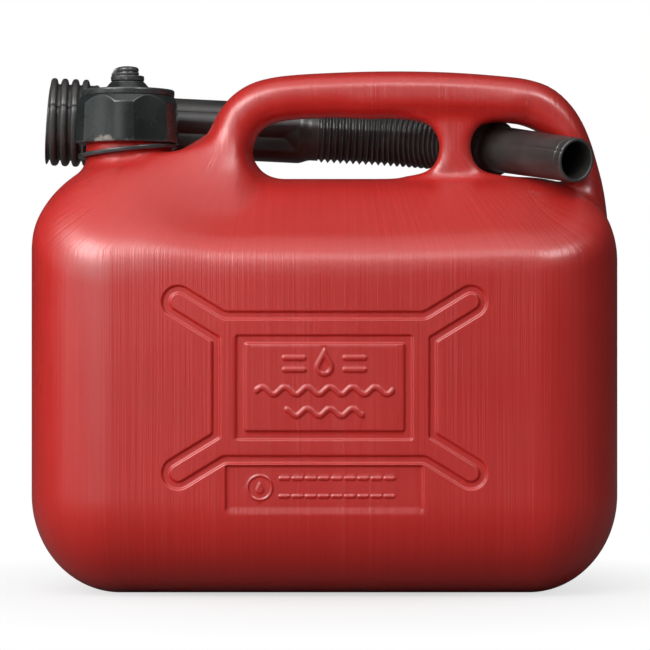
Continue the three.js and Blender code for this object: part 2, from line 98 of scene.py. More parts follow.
def curve(stations, count, axes):
    """count stations on a centripetal Catmull-Rom curve; the first axes columns are places."""
    stations = np.asarray(stations, float)
    gaps = np.linalg.norm(np.diff(stations[:, :axes], axis=0), axis=1)
    inner = np.r_[0, np.cumsum(np.sqrt(gaps))]
    knots = np.r_[inner[0] - (inner[1] - inner[0]), inner, inner[-1] + (inner[-1] - inner[-2])]
    padded = np.vstack([2 * stations[0] - stations[1], stations, 2 * stations[-1] - stations[-2]])
    out = []
    for at in np.linspace(inner[0], inner[-1], count):
        i = min(max(int(np.searchsorted(inner, at, "right")), 1), len(stations) - 1)
        knot = knots[i - 1:i + 3]
        values = padded[i - 1:i + 3]

        def between(low, high, before, after):
            return (high - at) / (high - low) * before + (at - low) / (high - low) * after

        for level in (1, 2):
            values = [between(knot[j], knot[j + level], values[j], values[j + 1])
                      for j in range(4 - level)]
        out.append(between(knot[1], knot[2], *values))
    return np.array(out)


def make(name, points, faces):
    """A smooth-shaded mesh object from points in millimetres, its faces turned outwards."""
    points = np.asarray(points, float)
    # a sample of a very large mesh is enough to tell which way it faces
    sample = faces[::len(faces) // 4000] if len(faces) > 400000 else faces
    triangles = np.asarray([(face[0], face[i], face[i + 1])
                            for face in sample for i in range(1, len(face) - 1)])
    first, second, third = (points[triangles[:, i]] - points.mean(0) for i in range(3))
    if np.einsum("ij,ij->i", first, np.cross(second, third)).sum() < 0:
        faces = [tuple(reversed(face)) for face in faces]
    mesh = bpy.data.meshes.new(name)
    places = (points - np.array([0, 0, BASE])) * MM
    mesh.from_pydata(places.tolist(), [], [tuple(int(i) for i in face) for face in faces])
    mesh.validate()
    mesh.polygons.foreach_set("use_smooth", [True] * len(mesh.polygons))
    mesh.update()
    obj = bpy.data.objects.new(name, mesh)
    bpy.context.scene.collection.objects.link(obj)
    return obj


def skin(rows, poles=None):
    """Quads through rows, each a closed loop of points.

    Two poles close the first and last row; without them the last row joins the first.
    """
    rows = np.asarray(rows, float)
    row_count, size, _ = rows.shape
    points = rows.reshape(-1, 3)
    faces = []
    for i in range(row_count if poles is None else row_count - 1):
        here, there = i * size, ((i + 1) % row_count) * size
        for j in range(size):
            k = (j + 1) % size
            faces.append((here + j, here + k, there + k, there + j))
    if poles is not None:
        first_pole = len(points)
        last_row = first_pole - size
        points = np.vstack([points, poles])
        for j in range(size):
            k = (j + 1) % size
            faces.append((first_pole, k, j))
            faces.append((first_pole + 1, last_row + j, last_row + k))
    return points, faces


def circle(count):
    return np.arange(count) * 2 * math.pi / count


def rounded_section(low, high, height, radius):
    """Rectangle with rounded corners, from low to high across and centred in height."""
    left, right, top = low + radius, high - radius, height / 2 - radius
    out = []
    corners = ((right, top, 0), (left, top, 90), (left, -top, 180), (right, -top, 270))
    for across, up, start in corners:
        for i in range(4):
            turn = math.radians(start + 30 * i)
            out.append((across + radius * math.cos(turn), up + radius * math.sin(turn)))
    return out


# ------------------------------------------------------------------ can body as a field

# centre line of the handle's bar and of its two legs: x, z, half width across the bar
HANDLE = [
    (-52, 172, 22), (-51.5, 184, 20.5), (-50, 191, 18), (-47.6, 197.2, 14.6), (-45.2, 202.4, 12),
    (-42.9, 208, 10.8), (-40.2, 214.2, 10.4), (-35.9, 219.9, 10.4), (-30, 223.9, 10.4),
    (-22.5, 226.3, 10.2), (-12.6, 227.6, 10.1), (2, 228.3, 10.25), (20.9, 229.05, 10.15),
    (41, 229.2, 10.05), (60, 228.7, 9.95), (80, 227.4, 9.75), (91, 225.8, 10),
    (98.9, 222.8, 10.3), (105.2, 218.3, 9.6), (110.3, 212.8, 8.5), (114.6, 205, 7.7),
    (117.7, 194.8, 7.7), (119.6, 184, 8.5), (120.2, 174, 9), (118, 164, 8.8), (113, 154, 8),
]
HANDLE_LINE = curve(HANDLE, 90, axes=2)
HANDLE_HALF_DEPTH = 16
HANDLE_POWER = 2.25               # 2 would make the handle's section an ellipse

POST_X, POST_Z = 59.9, 204.4      # middle of the post between the handle's two slots
SLOT_END_R = 13.5


def handle_field(x, y, z):
    across = np.full(x.shape, 1e9)
    half_width = np.ones_like(across)
    for start, end in zip(HANDLE_LINE[:-1], HANDLE_LINE[1:]):
        dx, dz = end[0] - start[0], end[1] - start[1]
        along = ((x - start[0]) * dx + (z - start[1]) * dz) / (dx * dx + dz * dz)
        along = np.clip(along, 0, 1)
        width = start[2] + along * (end[2] - start[2])
        ratio = np.hypot(x - start[0] - along * dx, z - start[1] - along * dz) / width
        nearer = ratio < across
        across = np.where(nearer, ratio, across)
        half_width = np.where(nearer, width, half_width)
    deep = np.abs(y) / HANDLE_HALF_DEPTH
    power = HANDLE_POWER
    reach = np.maximum((across ** power + deep ** power) ** (1 / power), 1e-6)
    # divided by its slope, so that it is close to a distance near the surface
    slope = np.sqrt((across ** (power - 1) / half_width) ** 2
                    + (deep ** (power - 1) / HANDLE_HALF_DEPTH) ** 2) * reach ** (1 - power)
    return (reach - 1) / np.maximum(slope, 1 / 18.0)


def post_field(x, y, z):
    """Flat web between the two slots, hollowed on both sides by the slots' round ends."""
    rise = np.clip(np.abs(z - POST_Z), 0, SLOT_END_R - 0.2)
    narrowing = np.sqrt(np.maximum(1 - (np.maximum(y, 0) / 10.9) ** 2, 0.03))    # to the back
    hollow = SLOT_END_R - np.sqrt(SLOT_END_R ** 2 - rise * rise)
    side = np.abs(x - POST_X) - (7.1 * narrowing + hollow)
    side = side * np.sqrt(np.maximum(1 - (rise / SLOT_END_R) ** 2, 0.12))
    return np.maximum(soft_max(side, np.abs(y) - 10.4, 5.5), np.abs(z - POST_Z) - 21)


def tank_field(x, y, z):
    low_edge = 46.5               # the bottom rounding begins here
    left = ramp(x, -18, -78)
    high_edge = 151.6 + 4.2 * left
    out_x = np.maximum(np.abs(x) - STRAIGHT_X, 0)
    out_y = np.maximum(np.abs(y) - STRAIGHT_Y, 0)
    below = (low_edge - z) * (CORNER_R / (low_edge - BASE))
    above = np.maximum(z - high_edge, 0) * (0.952 - 0.073 * left)
    out_z = np.where(z < low_edge, below, above)
    return np.sqrt(out_x * out_x + out_y * out_y + out_z * out_z) - CORNER_R


def shoulder_field(x, y, z):
    """Under a ridge along the can's middle that falls to both faces, and a cone at the neck."""
    ridge_r = 14
    out_y = np.sqrt(y * y + ridge_r * ridge_r)
    neck_r = np.sqrt((x - NECK_X) ** 2 + y * y + 1)
    swell = 0.9 * ramp(x, 20, 60)
    bump = 1.0 * np.exp(-((x - 82) / 18) ** 2)
    ridge = 192.0 + swell + bump - (out_y - ridge_r) * 0.70
    cone = 194.6 - (neck_r - 25.1) * 0.96
    return (z - soft_max(ridge, cone, 14 + 14 * ramp(out_y, 60, 18))) * 0.82


def top_field(x, y, z, base):
    """base with the handle, the post and the neck joined on and the neck's bore cut out."""
    left_leg = ramp(x, -22, -42)
    blend = 12 + left_leg * (2 + 16 * ramp(np.abs(y), 5, 20)) - 6 * ramp(x, 82, 98)
    fuller = 1.3 * ramp(x, 4, 20) * ramp(x, 97, 83) * ramp(z, 230, 222)       # under the bar
    slimmer = 0.7 * ramp(x, 92, 100) * ramp(z, 212, 204) * ramp(x, 122, 114)  # right leg
    out = soft_min(base, handle_field(x, y, z) - fuller + slimmer, blend)
    out = soft_min(out, post_field(x, y, z), 4.5)
    neck_r = np.sqrt((x - NECK_X) ** 2 + y * y)
    collar = soft_max(neck_r - NECK_COLLAR_R, np.abs(z - 193) - 13.6, 2.0)
    out = soft_min(out, collar, 5)
    bore = soft_max(neck_r - NECK_BORE_R, 172 - z, 6)
    return soft_max(out, -bore, 1.0)


def body_field(x, y, z):
    """Signed distance-like field of the whole can, negative inside."""
    x, y, z = np.broadcast_arrays(*(np.asarray(v, float) for v in (x, y, z)))
    shape = x.shape
    x, y, z = x.ravel(), y.ravel(), z.ravel()
    out = soft_max(tank_field(x, y, z), shoulder_field(x, y, z), 10 + 6 * ramp(x, -62, -96))
    near = (z > 140) & (np.abs(y) < 58)
    if near.any():
        out[near] = top_field(x[near], y[near], z[near], out[near])
    return out.reshape(shape)


# ------------------------------------------------------------------ mesh from a field


def surface_nets(field, low, high, step):
    """Quad mesh of field = 0 on an even grid, with one point in each cell it crosses."""
    axes = [np.arange(start, end + step, step) for start, end in zip(low, high)]
    size = [len(axis) for axis in axes]
    values = field(axes[0][:, None, None], axes[1][None, :, None], axes[2][None, None, :])
    inside = values < 0
    corners = [(i, j, k) for i in (0, 1) for j in (0, 1) for k in (0, 1)]
    filled = sum(inside[i:size[0] - 1 + i, j:size[1] - 1 + j, k:size[2] - 1 + k].astype(np.int8)
                 for i, j, k in corners)
    cell = np.argwhere((filled > 0) & (filled < 8))
    index = np.full([count - 1 for count in size], -1, np.int64)
    index[cell[:, 0], cell[:, 1], cell[:, 2]] = np.arange(len(cell))
    value = np.stack([values[cell[:, 0] + i, cell[:, 1] + j, cell[:, 2] + k]
                      for i, j, k in corners], 1)
    # each point is the mean of the crossings on its cell's edges
    total = np.zeros((len(cell), 3))
    crossings = np.zeros(len(cell))
    for p in range(8):
        for q in range(p + 1, 8):
            start, end = np.array(corners[p]), np.array(corners[q])
            if np.abs(start - end).sum() != 1:
                continue
            at_start, at_end = value[:, p], value[:, q]
            crossed = (at_start < 0) != (at_end < 0)
            along = np.where(crossed, at_start / np.where(crossed, at_start - at_end, 1), 0)
            total[crossed] += (start + along[:, None] * (end - start))[crossed]
            crossings[crossed] += 1
    origin = np.array([axis[0] for axis in axes])
    points = origin + step * (cell + total / crossings[:, None])
    quads = []
    for axis in range(3):
        u, v = (axis + 1) % 3, (axis + 2) % 3
        before = [slice(None)] * 3
        after = [slice(None)] * 3
        before[axis], after[axis] = slice(0, size[axis] - 1), slice(1, size[axis])
        before, after = inside[tuple(before)], inside[tuple(after)]
        edge = np.argwhere(before != after)
        edge = edge[(edge[:, u] > 0) & (edge[:, v] > 0)
                    & (edge[:, u] < size[u] - 1) & (edge[:, v] < size[v] - 1)]
        ring = []
        for du, dv in ((1, 1), (0, 1), (0, 0), (1, 0)):
            around = edge.copy()
            around[:, u] -= du
            around[:, v] -= dv
            ring.append(index[around[:, 0], around[:, 1], around[:, 2]])
        quad = np.stack(ring, 1)
        flip = after[edge[:, 0], edge[:, 1], edge[:, 2]]
        quad[flip] = quad[flip][:, ::-1]
        quads.append(quad)
    return points, np.vstack(quads)


def settle(points, field, rounds):
    """Moves points along the field's gradient onto field = 0."""
    probe = 0.05
    longest = 0.8                 # longest step of a round
    for _ in range(rounds):
        x, y, z = points.T
        value = field(x, y, z)
        gradient = np.stack([
            field(x + probe, y, z) - field(x - probe, y, z),
            field(x, y + probe, z) - field(x, y - probe, z),
            field(x, y, z + probe) - field(x, y, z - probe)], 1) / (2 * probe)
        step = (value / np.maximum((gradient * gradient).sum(1), 0.2))[:, None] * gradient
        length = np.linalg.norm(step, axis=1, keepdims=True)
        points = points - step * np.minimum(1, longest / np.maximum(length, 1e-9))
    return points


def even_out(points, quads, share, rounds):
    """Moves each point by a share of the way to the mean of its neighbours."""
    edges = np.vstack([quads[:, [i, (i + 1) % 4]] for i in range(4)])
    for _ in range(rounds):
        total = np.zeros_like(points)
        count = np.zeros(len(points))
        for here, there in ((0, 1), (1, 0)):
            for k in range(3):
                total[:, k] += np.bincount(edges[:, here], points[edges[:, there], k], len(points))
            count += np.bincount(edges[:, here], minlength=len(points))
        points = points + share * (total / count[:, None] - points)
    return points


# ------------------------------------------------------------------ relief of both faces

# boxes are left, right, low, high
FRAME_MID_Z = 95.5
FRAME = (-49.4, 49.4, 62.0, 129.0)
ARM_X, ARM_RISE = 64.0, 37.5      # ends of the four arms, from the frame's middle
ARM_LENGTH = 34
ARM_R = 7.35
ARM_SLOPE = math.atan2(15, 24.5)
GROOVE = 3.6
GROOVE_DEPTH = 1.25
INNER_FRAME = (-38.7, 38.4, 72.7, 118.3)
INNER_PANEL = (-34.8, 35.0, 76.4, 114.8)
INNER_DEPTH = 1.1
PLATE = (-43.1, 43.2, 41.7, 61.2)
PLATE_DEPTH = 1.2
WALL = 1.0                        # width of the sloped walls

MARK_HEIGHT, MARK_WALL = 0.8, 0.8
WAVE_HEIGHT, WAVE_LENGTH, WAVE_R = 1.5, 9.9, 1.0
WAVES = [(29.5, 94.0), (16.3, 84.6)]        # half length, z
BAR_Z = 105.8                     # middle of the pairs of bars beside the droplet

SMALL_HEIGHT, SMALL_WALL = 0.6, 0.7         # marks in the plate
RING_X, RING_Z = -28.3, 51.6
DASH_LEFT, DASH_PITCH, DASH_LENGTH = -19.3, 5.75, 3.4

# The functions below give the distance at x, z from an outline, negative inside it.


def box(x, z, sides, radius=0.0):
    left, right, low, high = sides
    out_x = np.abs(x - (left + right) / 2) - (right - left) / 2 + radius
    out_z = np.abs(z - (low + high) / 2) - (high - low) / 2 + radius
    outside = np.hypot(np.maximum(out_x, 0), np.maximum(out_z, 0))
    return outside + np.minimum(np.maximum(out_x, out_z), 0) - radius


def capsule(x, z, start, end, radius):
    dx, dz = end[0] - start[0], end[1] - start[1]
    along = ((x - start[0]) * dx + (z - start[1]) * dz) / (dx * dx + dz * dz)
    along = np.clip(along, 0, 1)
    return np.hypot(x - start[0] - along * dx, z - start[1] - along * dz) - radius


def droplet(x, z, centre, radius, tall):
    """A disc with its tangents drawn up to a point."""
    across, up = np.abs(x - centre[0]), z - centre[1]
    tip = math.asin(radius / tall)
    side = across * math.cos(tip) + up * math.sin(tip) - radius
    disc = np.hypot(across, up) - radius
    return np.where(up > radius * math.sin(tip), np.maximum(side, -up), disc)


def wave(x, z, half_length, mid_z):
    """Ridge along a sine line."""
    along = np.clip(x, -half_length, half_length)
    rate = 2 * math.pi / WAVE_LENGTH
    line = mid_z + WAVE_HEIGHT * np.sin(rate * along)
    tilt = np.sqrt(1 + (WAVE_HEIGHT * rate * np.cos(rate * along)) ** 2)
    return np.hypot((z - line) / tilt, x - along) - WAVE_R


def wall(distance, width):
    """0 outside an outline, 1 inside it, with a sloped wall of that width on the line."""
    return ease(0.5 - distance / width)


def frame_outline(x, z):
    """A box with an arm slanting out of each corner."""
    outline = box(x, z, FRAME)
    for side in (-1, 1):
        for rise in (-1, 1):
            end = side * ARM_X, FRAME_MID_Z + rise * ARM_RISE
            root = (end[0] - side * ARM_LENGTH * math.cos(ARM_SLOPE),
                    end[1] - rise * ARM_LENGTH * math.sin(ARM_SLOPE))
            outline = soft_min(outline, capsule(x, z, end, root, ARM_R), 0.8)
    return outline


def panel_marks(x, z):
    """A hollow droplet between two pairs of bars, over two wavy lines."""
    marks = droplet(x, z, (0.0, 104.4), radius=4.0, tall=8.2)
    for half_length, mid_z in WAVES:
        marks = np.minimum(marks, wave(x, z, half_length, mid_z))
    marks = np.maximum(marks, -droplet(x, z, (0.0, 104.3), radius=2.1, tall=4.4))
    for side in (-1, 1):
        for row in (BAR_Z - 2.6, BAR_Z + 2.6):
            bar = capsule(x, z, (side * 9.0, row), (side * 17.5, row), 0.95)
            marks = np.minimum(marks, bar)
    return marks


def plate_marks(x, z):
    """A ring around a droplet, and two rows of dashes."""
    marks = np.abs(np.hypot(x - RING_X, z - RING_Z) - 5.3) - 0.4
    marks = np.minimum(marks, droplet(x, z, (RING_X, RING_Z - 1), radius=1.6, tall=3.6))
    for row in (55.6, 47.8):
        for i in range(9):
            left = DASH_LEFT + DASH_PITCH * i
            marks = np.minimum(marks, capsule(x, z, (left, row), (left + DASH_LENGTH, row), 0.7))
    return marks


def relief(x, z):
    """How far the face is pressed in at x, z; raised marks count as negative."""
    outline = frame_outline(x, z)
    depth = GROOVE_DEPTH * (wall(outline + 0.35, WALL) - wall(outline + GROOVE, WALL))
    rim = box(x, z, INNER_FRAME, radius=1.0)
    panel = box(x, z, INNER_PANEL, radius=1.0)
    depth += INNER_DEPTH * (wall(rim, WALL) - wall(panel, WALL))
    depth = np.maximum(depth, PLATE_DEPTH * wall(box(x, z, PLATE, radius=0.8), WALL))
    depth -= MARK_HEIGHT * wall(panel_marks(x, z), MARK_WALL)
    depth -= SMALL_HEIGHT * wall(plate_marks(x, z), SMALL_WALL)
    return depth


def bilinear(corners, u, v):
    first, second, third, fourth = corners
    return (first * (1 - u) * (1 - v) + second * u * (1 - v)
            + third * u * v + fourth * (1 - u) * v)


def quads_to_split(points, quads):
    """Indices of the quads on both faces over which the relief changes."""
    flat = np.abs(points[:, 1]) > FACE_Y - 0.25
    corners = points[quads]
    on_face = (flat[quads].all(1) & (np.abs(corners[:, :, 0]).max(1) < 78)
               & (corners[:, :, 2].min(1) > 38) & (corners[:, :, 2].max(1) < 145))
    picked = np.flatnonzero(on_face)
    probe = np.linspace(0, 1, 7)
    u, v = (grid.ravel() for grid in np.meshgrid(probe, probe, indexing="ij"))
    x, z = (bilinear(corners[picked][:, :, k].T[:, :, None], u, v) for k in (0, 2))
    depth = relief(x, z)
    return picked[depth.max(1) - depth.min(1) > 0.004].tolist()


def refine(points, quads):
    """Splits the quads on which the relief changes, and presses the relief into both faces."""
    split = quads_to_split(points, quads)
    new = [points]
    count = len(points)
    middle = {}                   # points added along an edge, by its ends
    share = np.arange(1, FINE) / FINE

    def edge(start, end):
        nonlocal count
        key = (min(start, end), max(start, end))
        if key not in middle:
            along = share[:, None]
            new.append(points[key[0]] * (1 - along) + points[key[1]] * along)
            middle[key] = list(range(count, count + FINE - 1))
            count += FINE - 1
        return middle[key] if start < end else middle[key][::-1]

    faces = []
    for k in split:
        first, second, third, fourth = quads[k].tolist()
        grid = np.zeros((FINE + 1, FINE + 1), np.int64)
        grid[0, 0], grid[FINE, 0] = first, second
        grid[FINE, FINE], grid[0, FINE] = third, fourth
        grid[1:FINE, 0] = edge(first, second)
        grid[FINE, 1:FINE] = edge(second, third)
        grid[1:FINE, FINE] = edge(fourth, third)
        grid[0, 1:FINE] = edge(first, fourth)
        inner = bilinear(points[quads[k]], share[:, None, None], share[None, :, None])
        new.append(inner.reshape(-1, 3))
        inner_count = (FINE - 1) ** 2
        grid[1:FINE, 1:FINE] = np.arange(count, count + inner_count).reshape(FINE - 1, FINE - 1)
        count += inner_count
        for i in range(FINE):
            for j in range(FINE):
                faces.append((grid[i, j], grid[i + 1, j], grid[i + 1, j + 1], grid[i, j + 1]))
    # whole quads take up the points their split neighbours added
    done = set(split)
    for k, quad in enumerate(quads.tolist()):
        if k in done:
            continue
        ring = []
        for start, end in zip(quad, quad[1:] + quad[:1]):
            ring.append(start)
            if (min(start, end), max(start, end)) in middle:
                ring.extend(edge(start, end))
        faces.append(tuple(ring))
    points = np.vstack(new)
    x, y, z = points.T
    face = (np.abs(y) > FACE_Y - 0.3) & (np.abs(x) < 80) & (z > 36) & (z < 147)
    points[face, 1] -= np.sign(y[face]) * relief(x[face], z[face])
    return points, faces


def can_shell():
    points, quads = surface_nets(body_field, (-136.0, -68.3, -1.7), (136.5, 68.5, 243.0), GRID)
    points = settle(points, body_field, rounds=2)
    points = even_out(points, quads, share=0.5, rounds=3)
    points = settle(points, body_field, rounds=3)
    return make("can_shell", *refine(points, quads))


# ------------------------------------------------------------------ turned parts about the neck

# Profiles are (radius, height).

NECK_FOOT = [
    (NECK_COLLAR_R - 0.25, 205.9), (NECK_COLLAR_R - 0.05, 206.4),
    (NECK_CORE_R + 0.35, 208.3), (NECK_CORE_R + 0.05, 208.8),
]
NECK_TOP = [
    (NECK_CORE_R, 226.2), (NECK_CORE_R - 0.25, 226.75), (NECK_CORE_R - 0.75, NECK_LIP),
    (NECK_BORE_R + 0.5, NECK_LIP), (NECK_BORE_R + 0.1, 226.8), (NECK_BORE_R, 226.3),
    (NECK_BORE_R, 216), (NECK_BORE_R, 205.9),
]

CAP_BORE_R = 19.4
CAP_BOTTOM = 206.1
CAP_TOP_R = 21.15                 # least radius of the chamfer over the skirt
SKIRT_FOOT = [(206.1, 0.55), (206.15, 0.32), (206.35, 0.1), (206.65, 0.0)]   # height, set back
# from the chamfer's top over the cap's flat top and up its central knob
CAP_TOP = [
    (21.1, 227.55), (21.2, 227.75), (21.55, 227.95), (21.6, 228.3), (21.6, 229.8), (21.5, 230.3),
    (21.15, 230.6), (20.5, 230.7), (18.4, 230.72), (18.2, 230.6), (17.7, 230.6), (17.5, 230.72),
    (11.2, 230.75), (10.6, 230.9), (9.75, 232.1), (9.2, 232.75), (8.95, 232.85), (8.8, 233.25),
    (8.2, 233.9), (7.95, 233.95), (7.9, 234.1), (7.7, 234.45), (7.4, 234.6), (4.2, 234.62),
    (3.45, 234.7), (3.3, 235.0), (3.3, 237.2), (3.5, 237.45), (4.9, 237.5), (5.15, 237.6),
    (5.25, 237.9), (5.25, 238.75), (5.1, 238.95), (4.8, 239.05), (4.8, 239.3), (5.05, 239.4),
    (5.2, 239.6), (5.15, 240.3), (4.9, 240.85), (4.4, 241.25), (3.6, 241.45), (2.9, 241.5),
    (2.6, 241.62), (1.4, 241.75),
]
CAP_PEAK = 241.8
CAP_CEILING = 229.25
CAP_MOUTH = [
    (CAP_BORE_R + 0.6, 206.12), (CAP_BORE_R + 0.4, 206.6), (CAP_BORE_R + 0.1, 208.6),
    (CAP_BORE_R, 209.4),
]
CAP_INSIDE_TOP = [
    (CAP_BORE_R, 227.4), (CAP_BORE_R, 228.9), (19.0, 229.2), (14, CAP_CEILING), (6, CAP_CEILING),
]

FIN = [(4.4, 237.45), (7.15, 237.45), (7.3, 237.75), (5.7, 240.5), (5.2, 240.85), (4.4, 240.9)]
FIN_MIDDLE = (5.5, 238.9)
FIN_SLICES = [(-2.9, 0.86), (-2.75, 0.96), (-2.4, 1.0), (2.4, 1.0), (2.75, 0.96), (2.9, 0.86)]

# middle of the strap: distance behind the neck's axis, height
STRAP = [
    (23.35, 202.8), (24.6, 203.4), (25.75, 205.8), (25.9, 212), (25.9, 224), (25.2, 230),
    (22.4, 234.4), (16, 236.2), (8.05, 236.05),
]


def turned_rows(rows, count):
    """Rings about the neck; a radius may be an array over the angle."""
    angle = circle(count)
    out = []
    for radius, height in rows:
        radius = np.broadcast_to(np.asarray(radius, float), angle.shape)
        height = np.full(angle.shape, float(height))
        out.append(np.stack([NECK_X + radius * np.cos(angle), radius * np.sin(angle), height], 1))
    return out


def thread(angle, z, start, turns, height, width):
    """How far a helical ridge stands out at that angle and height."""
    turn = (z - start) / PITCH - angle / (2 * math.pi)
    nearest = np.round(turn)
    off = np.abs(turn - nearest) * PITCH
    wound = nearest + angle / (2 * math.pi)
    present = ramp(wound, -0.02, 0.12) * (1 - ramp(wound, turns - 0.12, turns + 0.02))
    return height * (1 - ramp(off, THREAD_TIP / 2, width / 2)) * present


def neck_finish():
    count = 160
    angle = circle(count)
    height = 18.8 - NECK_CORE_R
    threaded = [
        (NECK_CORE_R + thread(angle, z, start=211.6, turns=2.3, height=height, width=2.5), z)
        for z in np.arange(209.2, 226.0, 0.32)]
    return make("neck_finish", *skin(turned_rows(NECK_FOOT + threaded + NECK_TOP, count)))


def cap_skirt(angle, z):
    """Outside radius of the cap's skirt: six ridges, each with a scallop on both sides."""
    draft = 0.8 * (z - CAP_BOTTOM) / 17.9
    ridge_half, half_pitch = 10.6, 30         # degrees
    off = np.abs((np.degrees(angle) + 90 + half_pitch) % (2 * half_pitch) - half_pitch)
    inner = np.clip((off - ridge_half) / (half_pitch - ridge_half), 0, 1)
    dip = 2.1 * np.sin(inner * math.pi / 2) ** 0.85
    return 24.75 - draft - dip


def cap_body():
    count = 360
    angle = circle(count)
    outside = [(cap_skirt(angle, z) - back, z) for z, back in SKIRT_FOOT]
    for z in np.r_[np.arange(207.6, 222.9, 1.0), np.arange(223.0, 227.5, 0.14)]:
        chamfer = 24.0 - (z - 223.9) * 0.70
        radius = soft_min(cap_skirt(angle, z), chamfer, 0.35)
        outside.append((np.maximum(radius, CAP_TOP_R), z))
    threaded = [
        (CAP_BORE_R - thread(angle, z, start=214.1, turns=1.7, height=2.5, width=2.4), z)
        for z in np.arange(209.8, 227.0, 0.32)]
    inside = CAP_MOUTH + threaded + CAP_INSIDE_TOP
    rows = turned_rows(inside[::-1] + outside + CAP_TOP, count)
    poles = [(NECK_X, 0, CAP_CEILING), (NECK_X, 0, CAP_PEAK)]
    return make("cap_body", *skin(rows, poles=poles))


def cap_fin():
    """Sloped gusset on the knob's left side."""
    middle, mid_z = FIN_MIDDLE
    rows = [[(NECK_X - (middle + (radius - middle) * scale), y, mid_z + (z - mid_z) * scale)
             for radius, z in FIN] for y, scale in FIN_SLICES]
    poles = [(NECK_X - middle, y, mid_z) for y in (-2.95, 2.95)]
    return make("cap_knob_fin", *skin(rows, poles=poles))


def tether_ring():
    """Flat ring around the neck, tilted up to the right."""
    tilt = math.radians(6.2)
    rows = np.array(turned_rows(rounded_section(20.0, 22.8, height=2.0, radius=0.6), 160))
    x, z = rows[:, :, 0] - NECK_X, rows[:, :, 2].copy()
    rows[:, :, 0] = x * math.cos(tilt) - z * math.sin(tilt) + NECK_X
    rows[:, :, 2] = x * math.sin(tilt) + z * math.cos(tilt) + 202.6
    return make("tether_ring", *skin(rows))


def tether_eyelet():
    section = rounded_section(3.8, 7.65, height=2.3, radius=0.4)
    rows = turned_rows([(radius, z + 236.05) for radius, z in section], 96)
    return make("tether_eyelet_ring", *skin(rows))


def tether_strap():
    """From the ring up behind the cap's skirt and in over its top to the eyelet."""
    line = curve([(NECK_X, y, z) for y, z in STRAP], 84, axes=3)
    tangents = np.gradient(line, axis=0)
    tangents /= np.linalg.norm(tangents, axis=1)[:, None]
    section = rounded_section(-3.0, 3.0, height=1.4, radius=0.3)
    upwards = np.array([0, 0, 1.0])
    rows = []
    for i, (point, tangent) in enumerate(zip(line, tangents)):
        over = ramp(point[2], 227.0, 233.5)
        radial = point - np.array([NECK_X, 0, point[2]])
        out = radial / np.linalg.norm(radial) * (1 - over) + upwards * over
        if i < 8:
            out = out * (i / 8) + upwards * (1 - i / 8)
        normal = out - tangent * (out @ tangent)
        normal /= np.linalg.norm(normal)
        side = np.cross(tangent, normal)
        widening = 1 + 0.22 * (1 - ramp(i, 0, 6)) + 0.22 * ramp(i, 76, 83)    # at both ends
        row = []
        for across, up in section:
            # raised along the middle of the outer side
            rib = 0.25 * math.exp(-(across / 0.7) ** 2) if up > 0 and 14 < i < 72 else 0
            row.append(point + normal * (up + rib) + side * across * widening)
        rows.append(row)
    return make("tether_strap", *skin(rows, poles=[line[0], line[-1]]))


# ------------------------------------------------------------------ spout

# The centre line is two straights, start to corner to end, with the corner rounded off.
SPOUT_START = np.array([-130.9, 40.1, 219.2])
SPOUT_CORNER = np.array([56.4, 47.6, 210.6])
SPOUT_END = np.array([113.0, -35.0, 196.5])
SPOUT_BEND_R = 66.0

FIRST = SPOUT_CORNER - SPOUT_START
SECOND = SPOUT_END - SPOUT_CORNER
FIRST_WAY = FIRST / np.linalg.norm(FIRST)
SECOND_WAY = SECOND / np.linalg.norm(SECOND)
BEND = math.acos(float(FIRST_WAY @ SECOND_WAY))
REACH = SPOUT_BEND_R * math.tan(BEND / 2)       # of the bend either way from the corner
BEND_FROM = float(np.linalg.norm(FIRST)) - REACH
BEND_TO = BEND_FROM + SPOUT_BEND_R * BEND
SPOUT_LENGTH = BEND_TO + float(np.linalg.norm(SECOND)) - REACH
BEND_AXIS = np.cross(FIRST_WAY, SECOND_WAY) / np.linalg.norm(np.cross(FIRST_WAY, SECOND_WAY))
BEND_CENTRE = (SPOUT_START + FIRST_WAY * BEND_FROM
               + np.cross(BEND_AXIS, FIRST_WAY) * SPOUT_BEND_R)

# angles around the spout; each feature is also found on the opposite side
CHANNEL = math.radians(8)         # middle of the channel pressed into the tube
CREASE = math.radians(-43.6)      # fine groove along the tube
PARTING = math.radians(-25.6)     # moulding line along the whole spout

# Profiles are (distance along the centre line, radius).
COLLAR_END = [
    (21.5, 18.3), (22.3, 18.3), (22.8, 18.15), (23.2, 17.75), (23.5, 17.1), (23.9, 15.6),
    (24.4, 14.7), (25.2, 14.25), (26.5, 14.05),
]
COLLAR_INSIDE_END = [(20.9, 16.9), (22.8, 16.9), (22.86, 16.5), (22.9, 12.7)]
TUBE_WALL = 1.4

BELLOWS_FROM, BELLOWS_TO = 128.7, 213.5
BELLOWS_WAVES = 28
BELLOWS_LOW_R, BELLOWS_HIGH_R = 11.55, 13.2
BELLOWS_LAP = 0.05
# place within a wave and height, both from 0 to 1
BELLOWS_WAVE = [
    (0.04, 0.03), (0.2, 0.32), (0.36, 0.72), (0.45, 0.95), (0.5, 1.0), (0.55, 0.95),
    (0.64, 0.72), (0.8, 0.32), (0.96, 0.03),
]

